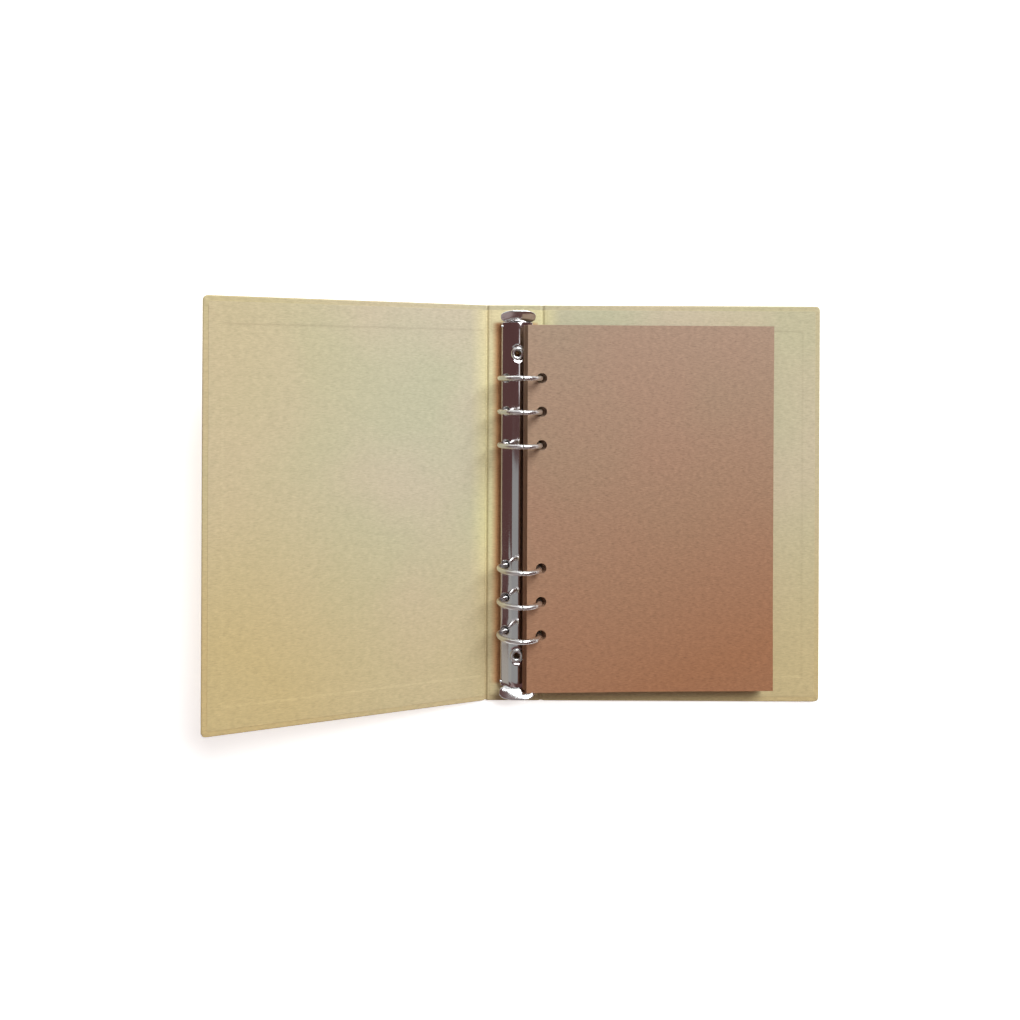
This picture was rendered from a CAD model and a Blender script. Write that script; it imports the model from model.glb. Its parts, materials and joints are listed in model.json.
"""The looks of a kraft ring scrapbook album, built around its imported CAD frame.

Lengths are in metres. The paper of the case, the leaves and the bright parts of the ring mechanism
are modelled here; the boards, the rails and the lever pins are the CAD's own, with new materials.
"""
import json
import math
import random

import bpy
import numpy as np
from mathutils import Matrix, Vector


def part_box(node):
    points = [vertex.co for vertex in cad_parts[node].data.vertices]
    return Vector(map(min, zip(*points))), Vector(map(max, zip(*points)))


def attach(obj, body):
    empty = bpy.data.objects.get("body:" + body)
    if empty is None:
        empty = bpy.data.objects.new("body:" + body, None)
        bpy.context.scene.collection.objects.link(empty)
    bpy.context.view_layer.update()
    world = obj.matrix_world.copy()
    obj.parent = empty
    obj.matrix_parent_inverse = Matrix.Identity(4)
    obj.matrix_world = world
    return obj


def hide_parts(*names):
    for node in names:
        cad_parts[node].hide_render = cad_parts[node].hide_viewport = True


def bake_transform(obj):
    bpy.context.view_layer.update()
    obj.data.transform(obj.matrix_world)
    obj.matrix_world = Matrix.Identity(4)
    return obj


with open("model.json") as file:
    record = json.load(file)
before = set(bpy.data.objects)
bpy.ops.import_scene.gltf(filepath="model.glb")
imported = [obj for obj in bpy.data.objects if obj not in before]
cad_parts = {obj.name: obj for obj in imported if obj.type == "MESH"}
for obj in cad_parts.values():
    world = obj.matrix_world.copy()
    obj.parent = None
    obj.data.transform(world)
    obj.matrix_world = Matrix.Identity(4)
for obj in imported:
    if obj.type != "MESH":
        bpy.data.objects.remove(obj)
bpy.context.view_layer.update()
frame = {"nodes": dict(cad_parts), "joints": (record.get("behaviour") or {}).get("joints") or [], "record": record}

MM = 0.001

# ---- dimensions read from the frame ----

joints = {j["name"]: j for j in frame["joints"]}
crease = joints["back_cover_fold"]["pos_m"]
crease_x, crease_z = crease[0], crease[2]
front_lift = -math.radians(joints["front_cover_fold"]["range_deg"][0])
ring_x, _, ring_z = joints["top_leaf_turn"]["pos_m"]

spine_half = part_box("spine_board")[1].x
board_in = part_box("back_board")[0].x
groove_half = board_in - crease_x
case_x, half_h, case_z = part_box("back_wrap")[1]
lining_x, lining_y, inside_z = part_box("back_lining")[1]
plate_low, plate_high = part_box("ring_plate")
ring_rows = sorted(sum(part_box(f"right_ring_{n}"), Vector()).y / 2 for n in range(1, 7))
rivet_rows = [sum(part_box(node), Vector()).y / 2 for node in ("eyelet_bottom", "eyelet_top")]
leaf_names = sorted(node for node in frame["nodes"] if node.startswith("leaf_"))

# ---- camera, floor and light ----

CEILING_Z = 1.6
FLOOR_REACH = 3.0
FLOOR_DROP = 0.2 * MM


def add_camera():
    """Straight above the open album, a little to the upper left of its middle."""
    data = bpy.data.cameras.new("camera")
    data.lens = 28.55
    data.sensor_width = 36
    data.shift_x = 0.1074
    data.shift_y = -0.1281
    camera = bpy.data.objects.new("camera", data)
    camera.location = (-66.8 * MM, 72.1 * MM, 476.7 * MM)
    camera.rotation_euler = (0, 0, math.radians(0.25))
    bpy.context.scene.collection.objects.link(camera)
    bpy.context.scene.camera = camera


def add_area_light(name, location, size, radiance, color=(1, 1, 1), target=(0, 0, 0)):
    """A rectangular light facing target, given by how bright its face is."""
    data = bpy.data.lights.new(name, "AREA")
    data.shape = "RECTANGLE"
    data.size, data.size_y = size
    data.energy = radiance * math.pi * size[0] * size[1]
    data.color = color
    light = bpy.data.objects.new(name, data)
    light.location = location
    aim = Vector(target) - Vector(location)
    light.rotation_euler = aim.to_track_quat("-Z", "Y").to_euler()
    bpy.context.scene.collection.objects.link(light)


def add_panel(name, low, high, radiance, color):
    """A light panel under the ceiling, facing down, between two opposite corners."""
    x, y = (low[0] + high[0]) / 2, (low[1] + high[1]) / 2
    size = (high[0] - low[0], high[1] - low[1])
    add_area_light(name, (x, y, CEILING_Z), size, radiance, color, (x, y, 0))


def floor_material():
    """A pale table that is lit a little from within, so that shadows on it stay light."""
    material, _, shader = new_material("floor_white", 0.9)
    shader.inputs["Base Color"].default_value = (0.93, 0.93, 0.93, 1)
    shader.inputs["Emission Color"].default_value = (1, 1, 1, 1)
    shader.inputs["Emission Strength"].default_value = 0.55
    return material


def add_room():
    """A dim warm room all round, which the nickel reflects."""
    world = bpy.data.worlds.new("studio")
    bpy.context.scene.world = world
    world.use_nodes = True
    background = world.node_tree.nodes["Background"]
    background.inputs["Color"].default_value = (1.0, 0.50, 0.47, 1)
    background.inputs["Strength"].default_value = 0.145


def add_lights():
    """A soft window high at the head of the album, with faint walls and ceiling panels."""
    add_area_light("window", (1.20, 1.96, 2.17), (1.9, 1.9), 12.6, (0.96, 1.01, 1.0))
    add_area_light("window_wall", (-0.4, 3.0, 0.95), (4.2, 1.7), 1.15, (0.94, 1.0, 1.0))
    add_area_light("far_wall", (-1.0, -2.4, 1.5), (1.9, 2.6), 0.28, (1.0, 0.88, 0.86))
    add_panel("panel_near", (-1.16, -0.95), (0.46, -0.14), 0.40, (0.76, 1.0, 0.98))
    add_panel("panel_middle", (-1.9, -1.25), (-1.16, -0.50), 0.48, (0.80, 1.0, 0.94))
    add_panel("panel_side", (-5.0, -1.75), (-1.9, -0.93), 0.50, (0.88, 1.0, 0.86))
    add_panel("panel_strip", (0.46, 0.03), (0.80, 0.20), 1.3, (0.93, 1.0, 1.0))


def add_floor():
    """A large pale floor, just clear of the album's underside."""
    signs = ((-1, -1), (1, -1), (1, 1), (-1, 1))
    mesh = bpy.data.meshes.new("floor")
    mesh.from_pydata([(x * FLOOR_REACH, y * FLOOR_REACH, 0) for x, y in signs], [], [(0, 1, 2, 3)])
    mesh.materials.append(floor_material())
    floor = bpy.data.objects.new("floor", mesh)
    floor.location.z = -FLOOR_DROP
    bpy.context.scene.collection.objects.link(floor)


def add_stage():
    """The room, its lights and the floor, shown in plain colours."""
    bpy.context.scene.view_settings.view_transform = "Standard"
    add_room()
    add_lights()
    add_floor()


# ---- materials ----

GLUE_BROWN = (0.43, 0.21, 0.09)
FRESH_TINT = (1.26, 1.23, 1.02)
FIBRE_LAYERS = ((0.3, 1700), (1.35, 1900), (2.4, 2100))  # direction in radians, fibres per metre


def new_material(name, roughness, metallic=0.0):
    """A material with its node tree and its shader."""
    material = bpy.data.materials.new(name)
    material.use_nodes = True
    shader = material.node_tree.nodes["Principled BSDF"]
    shader.inputs["Roughness"].default_value = roughness
    shader.inputs["Metallic"].default_value = metallic
    return material, material.node_tree, shader


def noise(tree, coords, scale, detail=2.0, rough=0.5, stretch=(1, 1, 1), turn=0.0):
    """A noise pattern with scale features per metre, stretched along its own axes."""
    mapping = tree.nodes.new("ShaderNodeMapping")
    mapping.inputs["Scale"].default_value = [scale * s for s in stretch]
    mapping.inputs["Rotation"].default_value = (0, 0, turn)
    tree.links.new(coords, mapping.inputs["Vector"])
    node = tree.nodes.new("ShaderNodeTexNoise")
    node.inputs["Scale"].default_value = 1
    node.inputs["Detail"].default_value = detail
    node.inputs["Roughness"].default_value = rough
    tree.links.new(mapping.outputs["Vector"], node.inputs["Vector"])
    return node.outputs["Fac"]


def ramp(tree, value, stops):
    """A colour ramp over value, from (position, grey or colour) stops."""
    node = tree.nodes.new("ShaderNodeValToRGB")
    elements = node.color_ramp.elements
    while len(elements) < len(stops):
        elements.new(0.5)
    for element, (position, color) in zip(elements, stops):
        element.position = position
        element.color = (*color, 1) if hasattr(color, "__len__") else (color, color, color, 1)
    tree.links.new(value, node.inputs["Fac"])
    return node.outputs["Color"]


def mix(tree, factor, a, b, blend="MIX"):
    """Mixes two colours. Each argument is a socket or a plain value."""
    node = tree.nodes.new("ShaderNodeMix")
    node.data_type = "RGBA"
    node.blend_type = blend
    for socket, value in ((node.inputs[0], factor), (node.inputs[6], a), (node.inputs[7], b)):
        if isinstance(value, bpy.types.NodeSocket):
            tree.links.new(value, socket)
        elif hasattr(value, "__len__"):
            socket.default_value = (*value, 1)
        else:
            socket.default_value = value
    return node.outputs[2]


def shade(tree, color, value, low, dark, high, light):
    """Multiplies color by dark where value is low and by light where it is high."""
    return mix(tree, 1.0, color, ramp(tree, value, [(low, dark), (high, light)]), "MULTIPLY")


def attribute(tree, name, output):
    """A value that the mesh keeps at its points."""
    node = tree.nodes.new("ShaderNodeAttribute")
    node.attribute_name = name
    return node.outputs[output]


def bump(tree, height, strength, distance, under=None):
    """The normal of a rough surface, on top of the relief given by under."""
    node = tree.nodes.new("ShaderNodeBump")
    node.inputs["Strength"].default_value = strength
    node.inputs["Distance"].default_value = distance
    tree.links.new(height, node.inputs["Height"])
    if under is not None:
        tree.links.new(under, node.inputs["Normal"])
    return node.outputs["Normal"]


def kraft_material(name, warm, cool, aged, fleck, contrast=1.0):
    """Kraft paper: slow drifts of tone, ageing, a cloudy formation, short fibres and flecks.

    The patterns follow the sheet as it lay before it was bent: its points keep that place in
    the attribute "flat". How much the sun has toned the paper there is in "age", how fresh it
    has stayed in "fresh", and how much glue has soaked into it in "stain".
    """
    material, tree, shader = new_material(name, 0.88)
    shader.inputs["Specular IOR Level"].default_value = 0.25
    shader.inputs["Sheen Weight"].default_value = 0.06
    coords = attribute(tree, "flat", "Vector")
    drift = ramp(tree, noise(tree, coords, 14, 1.5), [(0.36, 0.0), (0.64, 1.0)])
    color = mix(tree, attribute(tree, "age", "Fac"), mix(tree, drift, warm, cool), aged)
    color = shade(tree, color, attribute(tree, "fresh", "Fac"), 0.0, 1.0, 1.0, FRESH_TINT)
    color = mix(tree, attribute(tree, "stain", "Fac"), color, GLUE_BROWN)
    cloud = noise(tree, coords, 330, 3, 0.6)
    color = shade(tree, color, cloud, 0.30, 1 - 0.05 * contrast, 0.70, 1 + 0.045 * contrast)
    for turn, scale in FIBRE_LAYERS:
        fibres = noise(tree, coords, scale, 1, 0.4, (0.22, 1, 1), turn)
        color = shade(tree, color, fibres, 0.34, 1 - 0.055 * contrast, 0.46, 1.0)
        color = shade(tree, color, fibres, 0.58, 1.0, 0.72, 1 + 0.045 * contrast)
    dots = ramp(tree, noise(tree, coords, 900, 2, 0.5), [(0.68, 0.0), (0.76, 0.30 * contrast)])
    color = mix(tree, dots, color, fleck)
    tree.links.new(color, shader.inputs["Base Color"])
    grain = bump(tree, noise(tree, coords, 1500, 4, 0.65), 0.3, 0.05 * MM)
    cockle = bump(tree, noise(tree, coords, 90, 2, 0.5), 0.2, 0.25 * MM, grain)
    tree.links.new(cockle, shader.inputs["Normal"])
    return material


def metal_material(name, color, roughness, relief, stretch=(1, 1, 1)):
    """Plated or drawn metal: its polish is smeared by wear, and its surface waves a little."""
    material, tree, shader = new_material(name, roughness, 1.0)
    coords = tree.nodes.new("ShaderNodeTexCoord").outputs["Object"]
    smear = noise(tree, coords, 120, 4, 0.6, stretch)
    tint = ramp(tree, smear, [(0.25, [0.90 * c for c in color]), (0.7, color)])
    tree.links.new(tint, shader.inputs["Base Color"])
    polish = ramp(tree, smear, [(0.3, roughness * 0.75), (0.75, roughness * 1.5)])
    tree.links.new(polish, shader.inputs["Roughness"])
    waves = bump(tree, noise(tree, coords, 400, 3, 0.5, stretch), relief, 0.02 * MM)
    tree.links.new(waves, shader.inputs["Normal"])
    return material


def board_material():
    """Grey board: felted recycled fibres with specks."""
    material, tree, shader = new_material("greyboard", 0.95)
    coords = tree.nodes.new("ShaderNodeTexCoord").outputs["Object"]
    layers = noise(tree, coords, 700, 4, 0.6, (0.3, 0.3, 3))
    color = ramp(tree, layers, [(0.3, (0.22, 0.21, 0.19)), (0.7, (0.34, 0.32, 0.29))])
    tree.links.new(color, shader.inputs["Base Color"])
    return material


# ---- meshes ----

HOLE_SHARES = (0.45, 0.75, 0.9, 0.97, 1.0)  # where rings of points lie between border and edge
GRID_SLACK = 0.01 * MM


def make_object(name, points, faces, material, sharp=40, flat=None, tones=None):
    """A smooth mesh object, creased where its faces meet at more than sharp degrees.

    A sheet of paper also keeps where its points lay when it was flat, and its tones there.
    """
    mesh = bpy.data.meshes.new(name)
    mesh.from_pydata([tuple(p) for p in points], [], faces)
    mesh.validate()
    mesh.shade_smooth()
    mesh.set_sharp_from_angle(angle=math.radians(sharp))
    if flat is not None:
        flat_place = mesh.attributes.new("flat", "FLOAT_VECTOR", "POINT")
        flat_place.data.foreach_set("vector", np.asarray(flat, np.float32).ravel())
        for tone, values in tones.items():
            toning = mesh.attributes.new(tone, "FLOAT", "POINT")
            toning.data.foreach_set("value", np.asarray(values, np.float32).ravel())
    mesh.materials.append(material)
    thing = bpy.data.objects.new(name, mesh)
    bpy.context.scene.collection.objects.link(thing)
    return thing


def finish_piece(thing, body, slot, *nodes):
    """Puts a piece on its body, in place of CAD nodes."""
    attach(thing, body)
    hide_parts(*nodes)


def close_layers(upper_faces, count):
    """Faces of a closed sheet from those of its upper layer, whose points come first.

    The lower layer has the same points in the same order, count places later.
    """
    lower_faces = [tuple(count + v for v in reversed(face)) for face in upper_faces]
    edges = {(a, b) for face in upper_faces for a, b in zip(face, face[1:] + face[:1])}
    rim = [(b, a, count + a, count + b) for a, b in edges if (b, a) not in edges]
    return upper_faces + lower_faces + sorted(rim)


def grid_faces(rows, columns, flip=False, skip=()):
    """Quads of a grid of points, without the cells whose (row, column) is in skip."""
    faces = []
    for i in range(rows - 1):
        for j in range(columns - 1):
            if (i, j) not in skip:
                a = i * columns + j
                face = (a, a + columns, a + columns + 1, a + 1)
                faces.append(face[::-1] if flip else face)
    return faces


def loft(loops, closed=False):
    """Points and faces of a skin over loops of equally many points, with its ends capped."""
    size = len(loops[0])
    faces = []
    for i in range(len(loops) if closed else len(loops) - 1):
        here, there = i * size, (i + 1) % len(loops) * size
        for j in range(size):
            after = (j + 1) % size
            faces.append((here + j, here + after, there + after, there + j))
    if not closed:
        faces.append(tuple(reversed(range(size))))
        faces.append(tuple(range((len(loops) - 1) * size, len(loops) * size)))
    return np.vstack(loops), faces


def ease(value, start, end):
    """0 before start, 1 after end, smooth between."""
    t = np.clip((value - start) / (end - start), 0, 1)
    return t * t * (3 - 2 * t)


def spread(start, end, step):
    """Even steps from start to end, without the end."""
    count = max(1, round((end - start) / step))
    return [start + (end - start) * i / count for i in range(count)]


def grid_lines(start, end, step, cells, reach):
    """Grid lines from start to end, with eight even steps over the reach round each cell's middle."""
    lines = []
    here = start
    for middle in sorted(cells):
        lines += spread(here, middle - reach, step) + spread(middle - reach, middle + reach, reach / 4)
        here = middle + reach
    return lines + spread(here, end, step) + [end]


def holed_sheet(xs, ys, holes):
    """Plan points and faces of a flat sheet on grid lines xs and ys, with oval holes.

    A hole is (x, y, half width, half height, reach x, reach y). It is opened in the grid's
    cells within its reach, and rings of points lead from their border to its edge.
    """
    plan = [(x, y) for x in xs for y in ys]
    columns = len(ys)
    skipped = set()
    extra = []
    for x, y, half_x, half_y, reach_x, reach_y in holes:
        rows_in = [i for i, v in enumerate(xs) if abs(v - x) < reach_x + GRID_SLACK]
        columns_in = [j for j, v in enumerate(ys) if abs(v - y) < reach_y + GRID_SLACK]
        i0, i1, j0, j1 = rows_in[0], rows_in[-1], columns_in[0], columns_in[-1]
        skipped |= {(i, j) for i in range(i0, i1) for j in range(j0, j1)}
        border = [i * columns + j0 for i in range(i0, i1)] + [i1 * columns + j for j in range(j0, j1)]
        border += [i * columns + j1 for i in range(i1, i0, -1)]
        border += [i0 * columns + j for j in range(j1, j0, -1)]
        outer = border
        for share in HOLE_SHARES:
            inner = []
            for index in border:
                at_x, at_y = plan[index]
                angle = math.atan2((at_y - y) / reach_y, (at_x - x) / reach_x)
                edge_x, edge_y = x + half_x * math.cos(angle), y + half_y * math.sin(angle)
                inner.append(len(plan))
                plan.append((at_x + (edge_x - at_x) * share, at_y + (edge_y - at_y) * share))
            for m in range(len(border)):
                after = (m + 1) % len(border)
                extra.append((outer[m], outer[after], inner[after], inner[m]))
            outer = inner
    return np.array(plan), grid_faces(len(xs), columns, skip=skipped) + extra


# ---- case: covering paper and lining ----

EDGE_R = 0.7 * MM
CORNER_R = 2.8 * MM
FORE_TURN_IN = 10 * MM
END_TURN_IN = 14.4 * MM
BEND_START = spine_half + 0.3 * MM
BEND_END = board_in - 0.3 * MM
BORDER = 16.5 * MM  # width of the fine steps along the edges of the case
CREASE_DEPTH = 1.1 * MM
LINING_CREASE_DEPTH = 1.05 * MM
LINING_T = 0.26 * MM
LINING_TRIM = 0.04 * MM
LINING_CORNER_R = 1.2 * MM
RELIEF = 0.15 * MM
LINING_SHIFT = 0.9  # moves the lining's paper pattern away from the covering paper's
BACK_SHIFT = 0.5  # and that of a sheet's back from its front's


def inward_steps(reach):
    """Distances from an edge of the case: its rounding, its corner and the turn-in's ridge."""
    turns = (0, 20, 40, 65, 90)
    steps = [EDGE_R * (1 - math.cos(math.radians(turn))) for turn in turns]
    steps += [1.1 * MM, 1.6 * MM, 2.0 * MM, 2.6 * MM, 3.4 * MM]
    steps += spread(4.4 * MM, 9 * MM, 1.3 * MM) + spread(9 * MM, reach, 0.5 * MM)
    return steps


def dip(s, level, depth):
    """Height of a sheet at distance s from the spine's middle: it dips into the crease."""
    return level - depth * (1 - ease(np.abs(s - crease_x) / groove_half, 0.0, 0.75))


def round_corner(s, y, reach_x, reach_y, radius):
    """Draws a square corner's grid in to a rounded corner."""
    u = np.clip((s - (reach_x - radius)) / radius, 0, None)
    v = np.clip((np.abs(y) - (reach_y - radius)) / radius, 0, None)
    both = (u > 0) & (v > 0)
    new_s = np.where(both, reach_x - radius + radius * u * np.sqrt(1 - v * v / 2), s)
    new_y = np.where(both, reach_y - radius + radius * v * np.sqrt(1 - u * u / 2), np.abs(y))
    return new_s, np.sign(y) * new_y


def fold(side, s, y, z):
    """World places of points on a half of the case, given where they lie when it is flat.

    The left half's cover is raised at rest, and its paper bends across the crease.
    """
    points = np.stack([s, y, z], -1).reshape(-1, 3)
    if side > 0:
        return points
    bend = ease(points[:, 0], BEND_START, BEND_END) * front_lift
    out = points[:, 0] - crease_x
    up = points[:, 2] - crease_z
    turned_out = out * np.cos(bend) - up * np.sin(bend)
    turned_up = out * np.sin(bend) + up * np.cos(bend)
    return np.stack([-(crease_x + turned_out), points[:, 1], crease_z + turned_up], -1)


def turn_in_relief(s, y):
    """How much the turned-in paper and its folded corners lift the sheet pasted over them."""
    fore = case_x - s
    end = half_h - np.abs(y)
    lifted_fore = 1 - ease(fore, FORE_TURN_IN, FORE_TURN_IN + 0.9 * MM)
    lifted_end = 1 - ease(end, END_TURN_IN, END_TURN_IN + 0.9 * MM)
    across = (end - fore) / math.sqrt(2)
    mitre = ease(across, -0.5 * MM, 0.3 * MM) * (1 - ease(across, 2.5 * MM, 3.5 * MM))
    near = (1 - ease(fore, FORE_TURN_IN - 1 * MM, FORE_TURN_IN)) * (1 - ease(end, 9 * MM, 12 * MM))
    return RELIEF * (np.maximum(lifted_fore, lifted_end) + 0.8 * mitre * near)


def folded_corner(s, y):
    """The step of the mitred turn-in where it shows in the margin round the lining."""
    fore = case_x - s
    end = half_h - np.abs(y)
    across = (end - fore) / math.sqrt(2)
    step = ease(across, -0.25 * MM, 0.25 * MM) * (1 - ease(across, 2.0 * MM, 3.0 * MM))
    inside = ease(np.minimum(fore, end), 0.5 * MM, 1.2 * MM)
    return 0.2 * MM * step * inside * (1 - ease(fore, 6 * MM, 8 * MM))


def case_tones(side, s, y, lining):
    """Tones of the case's paper, yellowed most at its fore-edge and towards the tail.

    The lining has stayed fresh along the spine and is stained brown beside the ring plate.
    """
    outward = ease(s, crease_x + 30 * MM, case_x)
    tailward = ease(-y, -40 * MM, half_h)
    age = np.clip((0.5 if side < 0 else 0.2) * outward + 0.65 * tailward, 0, 1)
    plate_edge = plate_high.x if side > 0 else -plate_low.x
    along_plate = 1 - ease(np.abs(y), plate_high.y - 1 * MM, plate_high.y + 1 * MM)
    stain = (1 - ease(s, plate_edge + 2.0 * MM, plate_edge + 3.8 * MM)) * along_plate
    fresh = (1 - ease(s, crease_x + 1 * MM, crease_x + 12 * MM)) * (1 - 0.85 * ease(-y, 0, 0.9 * half_h))
    tones = {"age": age, "fresh": fresh * lining, "stain": 0.95 * stain * lining}
    return {tone: np.tile(values.ravel(), 2) for tone, values in tones.items()}


def case_sheet(side, cover, name, node, material, s, y, upper, lower):
    """A closed sheet over one cover and its half of the spine, bending at the crease.

    s and y are pairs: the square grid that the paper's tones follow, and that grid with its
    corners rounded, where the points lie.
    """
    shift = LINING_SHIFT if node == "lining" else 0.0
    flat = np.stack([s[0] * side, y[0] + shift, upper], -1).reshape(-1, 3)
    points = np.vstack([fold(side, s[1], y[1], upper), fold(side, s[1], y[1], lower)])
    faces = close_layers(grid_faces(*upper.shape, flip=side < 0), upper.size)
    tones = case_tones(side, s[0], y[0], node == "lining")
    both_flat = np.vstack([flat, flat - BACK_SHIFT])
    sheet = make_object(f"{cover}_{name}", points, faces, material, 50, both_flat, tones)
    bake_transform(sheet)
    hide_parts(f"{cover.split('_')[0]}_{node}", f"spine_{node}")


def covering_paper(side, cover, s, y):
    """The covering paper on grid lines s and y: a closed shell round the boards, with round edges."""
    grid_s, grid_y = np.meshgrid(np.array(s), np.array(y), indexing="ij")
    out_s, out_y = round_corner(grid_s, grid_y, case_x, half_h, CORNER_R)
    from_edge = np.minimum(case_x - grid_s, half_h - np.abs(grid_y))
    rounding = 1 - np.sqrt(1 - np.clip(1 - from_edge / EDGE_R, 0, 1) ** 2)
    top = dip(grid_s, case_z, CREASE_DEPTH)
    outside = 0.3 * MM * (1 - ease(np.abs(grid_s - crease_x), 0.5 * MM, 2.6 * MM))
    radius = np.minimum(EDGE_R, (top - outside) / 2)
    upper = top + folded_corner(grid_s, grid_y) - radius * rounding
    case_sheet(side, cover, "covering_paper", "wrap", COVER_KRAFT, (grid_s, out_s), (grid_y, out_y),
               upper, outside + radius * rounding)


def lining_paper(side, cover, s, y):
    """The lining on those grid lines s and y that it reaches, pasted over the turned-in paper."""
    s = [v for v in s if v < lining_x - LINING_TRIM] + [lining_x - LINING_TRIM, lining_x]
    y = [v for v in y if abs(v) < lining_y - LINING_TRIM]
    y = [-lining_y, LINING_TRIM - lining_y] + y + [lining_y - LINING_TRIM, lining_y]
    grid_s, grid_y = np.meshgrid(np.array(s), np.array(y), indexing="ij")
    out_s, out_y = round_corner(grid_s, grid_y, lining_x, lining_y, LINING_CORNER_R)
    on_board = ease(np.abs(grid_s - crease_x), groove_half, groove_half + 0.6 * MM)
    rim = (grid_s > lining_x - LINING_TRIM / 2) | (np.abs(grid_y) > lining_y - LINING_TRIM / 2)
    top = dip(grid_s, inside_z - RELIEF, LINING_CREASE_DEPTH) + turn_in_relief(grid_s, grid_y) * on_board
    case_sheet(side, cover, "lining_paper", "lining", LINING_KRAFT, (grid_s, out_s), (grid_y, out_y),
               top - rim * 0.05 * MM, top - LINING_T)


def case_half(side, cover):
    """The covering paper and the lining of one cover and its half of the spine."""
    s = spread(0, spine_half - 0.8 * MM, 3.2 * MM)
    s += spread(spine_half - 0.8 * MM, board_in + 0.8 * MM, 0.2 * MM)
    s += spread(board_in + 0.8 * MM, case_x - BORDER, 4 * MM)
    s += [case_x - step for step in reversed(inward_steps(BORDER))]
    inner = half_h - BORDER
    y = [step - half_h for step in inward_steps(BORDER)] + spread(-inner, inner, 4 * MM)
    y += [half_h - step for step in reversed(inward_steps(BORDER))]
    covering_paper(side, cover, s, y)
    lining_paper(side, cover, s, y)


# ---- leaves ----

HOLE_REACH = 4.5 * MM
MARGIN = 2 * MM  # no hole lies this near a leaf's edge
TRIM_SPREAD = 0.25 * MM
LEAF_WARP = 0.5 * MM
LEAF_SHIFT = (0.31, 0.17, 0)  # moves each leaf's paper pattern away from the last one's


def leaf_warp(share, headward, loose):
    """How far a leaf's outer corners lift and its middle sags: most on the loosest leaves."""
    corner = ease(share, 0.35, 1.0) * (0.6 * ease(headward, 0.7, 1.0) + 0.8 * (1 - ease(headward, 0.0, 0.25)))
    sag = np.sin(math.pi * ease(share, 0.1, 1.0)) * (0.45 + 0.15 * np.cos(3.1 * headward))
    return LEAF_WARP * loose * (corner - sag)


def leaf_piece(number, node, body):
    """One punched leaf: a closed thin sheet with six holes, on its CAD node's own plane."""
    points = np.array([v.co for v in frame["nodes"][node].data.vertices], float)
    low, high = points.min(0), points.max(0)
    inner_edge = points[points[:, 0] < low[0] + 0.5 * MM][:, 2]
    outer_edge = points[points[:, 0] > high[0] - 0.5 * MM][:, 2]
    inner_top, thickness = inner_edge.max(), inner_edge.max() - inner_edge.min()
    holes = points[(points[:, 0] > low[0] + MARGIN) & (points[:, 0] < high[0] - MARGIN)]
    hole_x = (holes[:, 0].min() + holes[:, 0].max()) / 2
    hole_r = (holes[:, 0].max() - holes[:, 0].min()) / 2

    chance = random.Random(number)
    trims = [TRIM_SPREAD * chance.random() * (number > 1) for _ in range(3)]
    right, bottom, top = high[0] - trims[0], low[1] + trims[1], high[1] - trims[2]
    xs = grid_lines(low[0], right, 5.5 * MM, [hole_x], HOLE_REACH)
    ys = grid_lines(bottom, top, 6.5 * MM, ring_rows, HOLE_REACH)
    plan, faces = holed_sheet(xs, ys, [(hole_x, row, hole_r, hole_r, HOLE_REACH, HOLE_REACH)
                                       for row in ring_rows])
    share = (plan[:, 0] - low[0]) / (high[0] - low[0])
    headward = (plan[:, 1] - low[1]) / (high[1] - low[1])
    loose = 1 - (number - 1) / len(leaf_names)
    height = inner_top + (outer_edge.max() - inner_top) * share + leaf_warp(share, headward, loose)
    upper = np.column_stack([plan, height])
    lower = upper - (0, 0, thickness)
    flat = np.column_stack([plan, 0 * share]) + number * np.array(LEAF_SHIFT)
    age = np.clip((1 - headward) * (0.85 + 0.3 * share), 0, 1)
    leaf = make_object(f"kraft_{node}", np.vstack([upper, lower]), close_layers(faces, len(plan)),
                       LEAF_KRAFT, 40, np.vstack([flat, flat]), {"age": np.tile(age, 2)})
    finish_piece(leaf, body, "leaf_kraft", node)


# ---- ring mechanism ----

PLATE_T = 0.8 * MM
PLATE_STEP = 0.35 * MM
SHOULDER_R = 0.45 * MM
CROWN_HALF = 5.6 * MM
FLANK_TILT = math.radians(30.5)
WIRE_HOLE_X = 7.15 * MM
WIRE_HOLE_REACH = 3.2 * MM
WIRE_HOLE_R = (2.45 * MM, 2.5 * MM)  # across the plate and along it
RIVET_HOLE_R = 2.45 * MM
RIVET_REACH = WIRE_HOLE_X - WIRE_HOLE_REACH
DIMPLE_R = 4.4 * MM
SEAT_Z = 6.7 * MM
WIRE_R = 1.4 * MM
FOOT_ANGLE = 52
FOOT_BEND_R = 2.2 * MM
FOOT_HEAD = (2.0 * MM, 0.4 * MM)  # radius and thickness
TIP_GAP = 0.05 * MM
CIRCLE = [2 * math.pi * i / 32 for i in range(32)]


def plate_profile():
    """Half of the plate's outline, from its crown to its foot: arc lengths, x and heights."""
    flank_end = (plate_high.x - plate_low.x) / 2 - SHOULDER_R
    x = list(np.linspace(0, flank_end, 90))
    tilts = [FLANK_TILT * (1 - (1 - min(v / CROWN_HALF, 1)) ** 1.6) for v in x]
    z = [plate_high.z - inside_z]
    for i in range(1, len(x)):
        z.append(z[-1] - (x[i] - x[i - 1]) * math.tan((tilts[i] + tilts[i - 1]) / 2))
    centre_x = flank_end - SHOULDER_R * math.sin(FLANK_TILT)
    centre_z = z[-1] - SHOULDER_R * math.cos(FLANK_TILT)
    for turn in np.linspace(FLANK_TILT, math.pi / 2, 12)[1:]:
        x.append(centre_x + SHOULDER_R * math.sin(turn))
        z.append(centre_z + SHOULDER_R * math.cos(turn))
    x.append(x[-1])
    z.append(0)
    lengths = np.concatenate([[0], np.cumsum(np.hypot(np.diff(x), np.diff(z)))])
    return lengths, np.array(x), np.array(z)


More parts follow.
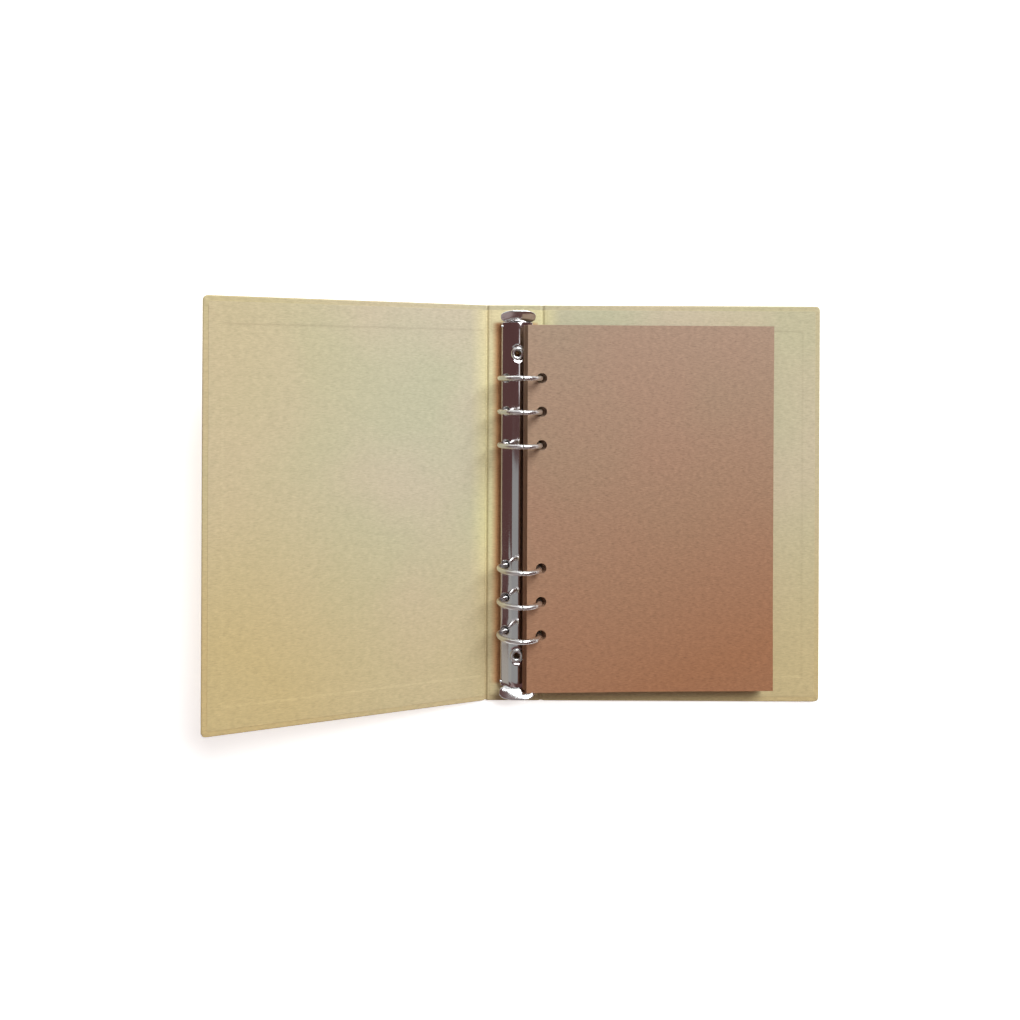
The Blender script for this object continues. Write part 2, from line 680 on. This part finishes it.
def plate_rows():
    """Grid lines along the plate, close together round its rivets and at its ends."""
    end_y = plate_high.y
    ys = [v for v in grid_lines(-end_y, end_y, 4 * MM, ring_rows, WIRE_HOLE_REACH)
          if min(abs(v - row) for row in rivet_rows) > 7 * MM and end_y - abs(v) > 0.4 * MM]
    ys += [row + 0.65 * MM * step for row in rivet_rows for step in range(-9, 10) if abs(step) > 6]
    ys += [row + RIVET_REACH * step / 6 for row in rivet_rows for step in range(-6, 7)]
    ys += [end * (end_y - gap) for end in (-1, 1) for gap in (0, 0.06 * MM, 0.15 * MM, 0.3 * MM)]
    return sorted(ys)


def plate_normals(s, lengths, half_x, half_z):
    """The plate's upward normals at arc lengths s from its crown."""
    step = 0.02 * MM
    ahead, behind = np.abs(s) + step, np.maximum(np.abs(s) - step, 0)
    slope_x = np.interp(ahead, lengths, half_x) - np.interp(behind, lengths, half_x)
    slope_z = np.interp(ahead, lengths, half_z) - np.interp(behind, lengths, half_z)
    size = np.hypot(slope_x, slope_z)
    return np.stack([-slope_z / size * np.sign(s), 0 * s, slope_x / size], -1)


def plate_drop(s, y, holes):
    """How far the plate is pressed in at its ends and holes, and raised round the wire holes."""
    drop = 0.18 * MM * np.clip(1 - (plate_high.y - np.abs(y)) / (0.3 * MM), 0, 1) ** 2
    for hole_x, hole_y, hole_rx, hole_ry, _, _ in holes:
        gap = (np.hypot((s - hole_x) / hole_rx, (y - hole_y) / hole_ry) - 1) * hole_ry
        drop = drop + 0.25 * MM * np.clip(1 - gap / (0.4 * MM), 0, 1) ** 2
        if hole_x:
            drop = drop - 0.14 * MM * (1 - ease(gap, 0.1 * MM, 0.9 * MM))
    return drop


def ring_plate_piece():
    """The arched cover plate, with rounded wire holes and a dimple round each rivet."""
    lengths, half_x, half_z = plate_profile()
    wire_cells = [-WIRE_HOLE_X, WIRE_HOLE_X]
    xs = grid_lines(-lengths[-1], lengths[-1], PLATE_STEP, wire_cells, WIRE_HOLE_REACH)
    wire_hole = (*WIRE_HOLE_R, WIRE_HOLE_REACH, WIRE_HOLE_REACH)
    rivet_hole = (RIVET_HOLE_R, RIVET_HOLE_R, RIVET_REACH, RIVET_REACH)
    holes = [(x, row, *wire_hole) for x in wire_cells for row in ring_rows]
    holes += [(0, row, *rivet_hole) for row in rivet_rows]
    plan, faces = holed_sheet(xs, plate_rows(), holes)
    s, y = plan[:, 0], plan[:, 1]
    x = np.interp(np.abs(s), lengths, half_x)
    z = np.interp(np.abs(s), lengths, half_z)
    normal = plate_normals(s, lengths, half_x, half_z)
    away = np.min([np.hypot(s, y - row) for row in rivet_rows], 0)
    seat = 1 - ease(away, DIMPLE_R - 0.2 * MM, DIMPLE_R + 0.8 * MM)
    z = z + (np.minimum(z, SEAT_Z) - z) * seat
    normal = normal * (1 - seat[:, None]) + np.array([0, 0, 1]) * seat[:, None]
    surface = np.stack([ring_x + np.sign(s) * x, y, inside_z + z], -1)
    upper = surface - normal * plate_drop(s, y, holes)[:, None]
    lower = surface - normal * PLATE_T
    plate = make_object("nickel_ring_plate", np.vstack([upper, lower]), close_layers(faces, len(plan)),
                        PLATE_NICKEL, 50)
    finish_piece(plate, "spine", "nickel", "ring_plate")


def ring_path(ring_r, low_z):
    """A ring half's wire from its tip down to its foot, as (x, z, heading, radius)."""
    foot = math.radians(FOOT_ANGLE)
    foot_x = (ring_r + FOOT_BEND_R) * math.cos(foot) - FOOT_BEND_R
    foot_z = ring_z - (ring_r + FOOT_BEND_R) * math.sin(foot)
    head_r, head_t = FOOT_HEAD
    stations = []
    for radius, back in ((WIRE_R - 0.3 * MM, 0), (WIRE_R - 0.1 * MM, 0.08 * MM), (WIRE_R, 0.3 * MM)):
        stations.append((math.pi / 2 - (TIP_GAP + back) / ring_r, radius))
    stations += [(angle, WIRE_R) for angle in np.linspace(stations[-1][0], -foot, 44)[1:]]
    path = [(ring_r * math.cos(a), ring_z + ring_r * math.sin(a), a - math.pi / 2, r) for a, r in stations]
    for turn in np.linspace(math.pi - foot, math.pi, 9)[1:]:
        path.append((foot_x + FOOT_BEND_R * (1 + math.cos(turn)), foot_z + FOOT_BEND_R * math.sin(turn),
                     turn + math.pi / 2, WIRE_R))
    down = -math.pi / 2
    for z, radius in ((low_z + head_t, WIRE_R), (low_z + head_t, head_r), (low_z, head_r)):
        path.append((foot_x, z, down, radius))
    return path


def ring_half(side_name, side, number):
    """One half of a ring: round wire from its tip at the top, round to its foot in the rail."""
    node = f"{side_name}_ring_{number}"
    low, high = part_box(node)
    row = (low.y + high.y) / 2
    loops = []
    for x, z, heading, radius in ring_path(high.z - WIRE_R - ring_z, low.z):
        across = heading + math.pi / 2
        loops.append([(ring_x + side * (x + radius * math.cos(a) * math.cos(across)),
                       row + side * radius * math.sin(a),
                       z + radius * math.cos(a) * math.sin(across)) for a in CIRCLE])
    points, faces = loft(loops)
    half = make_object(f"nickel_{node}", points, faces, RING_NICKEL, 50)
    finish_piece(half, f"{side_name}_rings", "nickel", node)


def turned_loops(centre, profile):
    """Level circles about a centre, from (radius, height) pairs."""
    return [[(centre.x + r * math.cos(a), centre.y + r * math.sin(a), z) for a in CIRCLE] for r, z in profile]


def eyelet_piece(end_name):
    """A hollow rivet: a tube whose rim is rolled over into a round bead."""
    node = "eyelet_" + end_name
    low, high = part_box(node)
    centre = (low + high) / 2
    bore_r, tube_r, bead_h = 1.75 * MM, 2.4 * MM, 0.8 * MM
    flange_r = high.x - centre.x
    mid_r, half_bead = (bore_r + flange_r) / 2, (flange_r - bore_r) / 2
    profile = [(bore_r, low.z)]
    for turn in np.linspace(math.pi, 0, 13):
        profile.append((mid_r + half_bead * math.cos(turn), high.z - bead_h * (1 - math.sin(turn))))
    profile += [(tube_r, high.z - bead_h), (tube_r, low.z)]
    points, faces = loft(turned_loops(centre, profile), closed=True)
    eyelet = make_object("nickel_" + node, points, faces, RING_NICKEL, 50)
    finish_piece(eyelet, "spine", "nickel", node)


def rivet_cap_piece(end_name):
    """The closed outer end of a rivet: a flat cap with a rounded rim and a pressed ring."""
    node = "rivet_cap_" + end_name
    low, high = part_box(node)
    centre = (low + high) / 2
    cap_r = high.x - centre.x
    profile = [(cap_r - 2.6 * MM, low.z + 0.12 * MM), (cap_r - 1.9 * MM, low.z + 0.02 * MM)]
    for turn in np.linspace(0, 90, 6):
        angle = math.radians(turn)
        profile.append((cap_r - 0.35 * MM * (1 - math.sin(angle)), low.z + 0.35 * MM * (1 - math.cos(angle))))
    profile.append((cap_r, high.z))
    points, faces = loft(turned_loops(centre, profile))
    cap = make_object("nickel_" + node, points, faces, RING_NICKEL, 50)
    finish_piece(cap, "spine", "nickel", node)


def strip_loop(half_w, half_t, bow, count=14):
    """A strip's cross-section with round edges, as (across, through) pairs, arched by bow."""
    flat = max(half_w - half_t, 0)
    outline = [(flat * (2 * i / count - 1), half_t) for i in range(count + 1)]
    outline += [(flat + half_t * math.sin(a), half_t * math.cos(a)) for a in np.linspace(0, math.pi, 7)[1:-1]]
    outline += [(-across, -through) for across, through in outline]
    return [(across, through - bow * across ** 2) for across, through in outline]


PADDLE_SLOPE = (23, 57)  # degrees at the tip, and how much steeper where it leaves the knuckle
PADDLE_STEPS = 60
PADDLE_DOME = 9.0
PADDLE_ROUND = 2.3  # the exponent of its oval outline
TIP_START = 0.93


def lever_path():
    """A lever's sheet seen along its pin: (outward, up, heading, half width, half thickness)."""
    half_t, knuckle_r = 0.36 * MM, 1.22 * MM
    knuckle_half, neck_half = 5.7 * MM, 6.2 * MM
    low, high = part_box("lever_top")
    paddle_half = (high.x - low.x) / 2
    reach = high.y - joints["top_lever_press"]["pos_m"][1]
    leaves_at = math.radians(-36)
    path = []
    for turn in np.linspace(leaves_at - math.radians(285), leaves_at, 26):
        path.append((knuckle_r * math.cos(turn), knuckle_r * math.sin(turn), turn + math.pi / 2,
                     knuckle_half, half_t))
    out, up = path[-1][:2]
    tip_slope, rise = PADDLE_SLOPE
    headings = [math.radians(tip_slope + rise * (1 - (i + 0.5) / PADDLE_STEPS) ** 2.1)
                for i in range(PADDLE_STEPS)]
    stride = (reach - out) / sum(math.cos(h) for h in headings)
    widest, spread_t = 0.60, 0.41
    for i, heading in enumerate(headings):
        out += stride * math.cos(heading)
        up += stride * math.sin(heading)
        t = (i + 1) / PADDLE_STEPS
        u = min(abs(t - widest) / spread_t, 1)
        lens = max(paddle_half * (1 - u ** PADDLE_ROUND) ** (1 / PADDLE_ROUND), 0.3 * MM)
        neck = knuckle_half + (neck_half - knuckle_half) * ease(t, 0.0, 0.12)
        half_w = max(lens, neck) if t < widest else lens
        tip = max(0, (t - TIP_START) / (1 - TIP_START))
        path.append((out, up, heading, half_w, half_t * math.sqrt(1 - 0.97 * tip ** 2)))
    return path


def lever_arm_path():
    """The arm that reaches under the ends of the rails, as lever_path."""
    half_w, half_t = 2.0 * MM, 0.32 * MM
    places = [(-4.8, -2.65), (-2.4, -2.65), (-1.7, -2.45), (-1.2, -1.95), (-0.9, -1.35)]
    path = []
    for (out, up), (next_out, next_up) in zip(places, places[1:]):
        path.append((out * MM, up * MM, math.atan2(next_up - up, next_out - out), half_w, half_t))
    out, up = places[-1]
    path.append((out * MM, up * MM, path[-1][2], half_w, half_t))
    return path


def lever_piece(end_name, end):
    """A thumb lever stamped from sheet: a knuckle round its pin, a neck and a domed paddle."""
    pin_x, pin_y, pin_z = joints[end_name + "_lever_press"]["pos_m"]
    all_points, all_faces = [], []
    for path, dome in ((lever_path(), PADDLE_DOME), (lever_arm_path(), 0.0)):
        loops = []
        for out, up, heading, half_w, half_t in path:
            bow = dome * ease(out, 2 * MM, 6 * MM)
            loop = []
            for across, through in strip_loop(half_w, half_t, bow):
                loop.append((pin_x + across, pin_y + end * (out - through * math.sin(heading)),
                             pin_z + up + through * math.cos(heading)))
            loops.append(loop[::-1] if end > 0 else loop)
        points, faces = loft(loops)
        start = sum(len(p) for p in all_points)
        all_points.append(points)
        all_faces += [tuple(start + v for v in face) for face in faces]
    lever = make_object(f"nickel_{end_name}_lever", np.vstack(all_points), all_faces, LEVER_NICKEL, 45)
    finish_piece(lever, end_name + "_lever", "nickel", "lever_" + end_name)


# ---- build ----

COVER_KRAFT = kraft_material("cover_kraft", (0.50, 0.43, 0.29), (0.465, 0.43, 0.28),
                             (0.50, 0.38, 0.185), (0.28, 0.21, 0.12))
LINING_KRAFT = kraft_material("lining_kraft", (0.51, 0.445, 0.33), (0.465, 0.445, 0.31),
                              (0.50, 0.39, 0.195), (0.30, 0.23, 0.14))
LEAF_KRAFT = kraft_material("leaf_kraft", (0.365, 0.245, 0.177), (0.345, 0.25, 0.177),
                            (0.31, 0.140, 0.070), (0.15, 0.09, 0.05), 1.6)
PLATE_NICKEL = metal_material("nickel", (0.60, 0.56, 0.57), 0.09, 0.05, (1, 0.25, 1))
RING_NICKEL = metal_material("nickel_rings", (0.74, 0.75, 0.75), 0.27, 0.08)
LEVER_NICKEL = metal_material("nickel_levers", (0.74, 0.75, 0.76), 0.14, 0.08)
STEEL = metal_material("steel", (0.60, 0.61, 0.63), 0.30, 0.2, (1, 8, 1))
GREYBOARD = board_material()

add_camera()
add_stage()
case_half(-1, "front_cover")
case_half(1, "back_cover")
for number, node in enumerate(leaf_names, 1):
    leaf_piece(number, node, {1: "top_leaf", len(leaf_names): "last_leaf"}.get(number, "leaf_stack"))
ring_plate_piece()
for number in range(1, 7):
    ring_half("left", -1, number)
    ring_half("right", 1, number)
for end_name, end in (("top", 1), ("bottom", -1)):
    eyelet_piece(end_name)
    rivet_cap_piece(end_name)
    lever_piece(end_name, end)

SLOT_MATERIALS = {"nickel": RING_NICKEL, "steel": STEEL, "greyboard": GREYBOARD}
slots = {part["node"]: part["material_slot"] for part in frame["record"]["subparts"]}
for node_name, node_object in frame["nodes"].items():
    if slots[node_name] in SLOT_MATERIALS:
        node_object.data.materials.clear()
        node_object.data.materials.append(SLOT_MATERIALS[slots[node_name]])
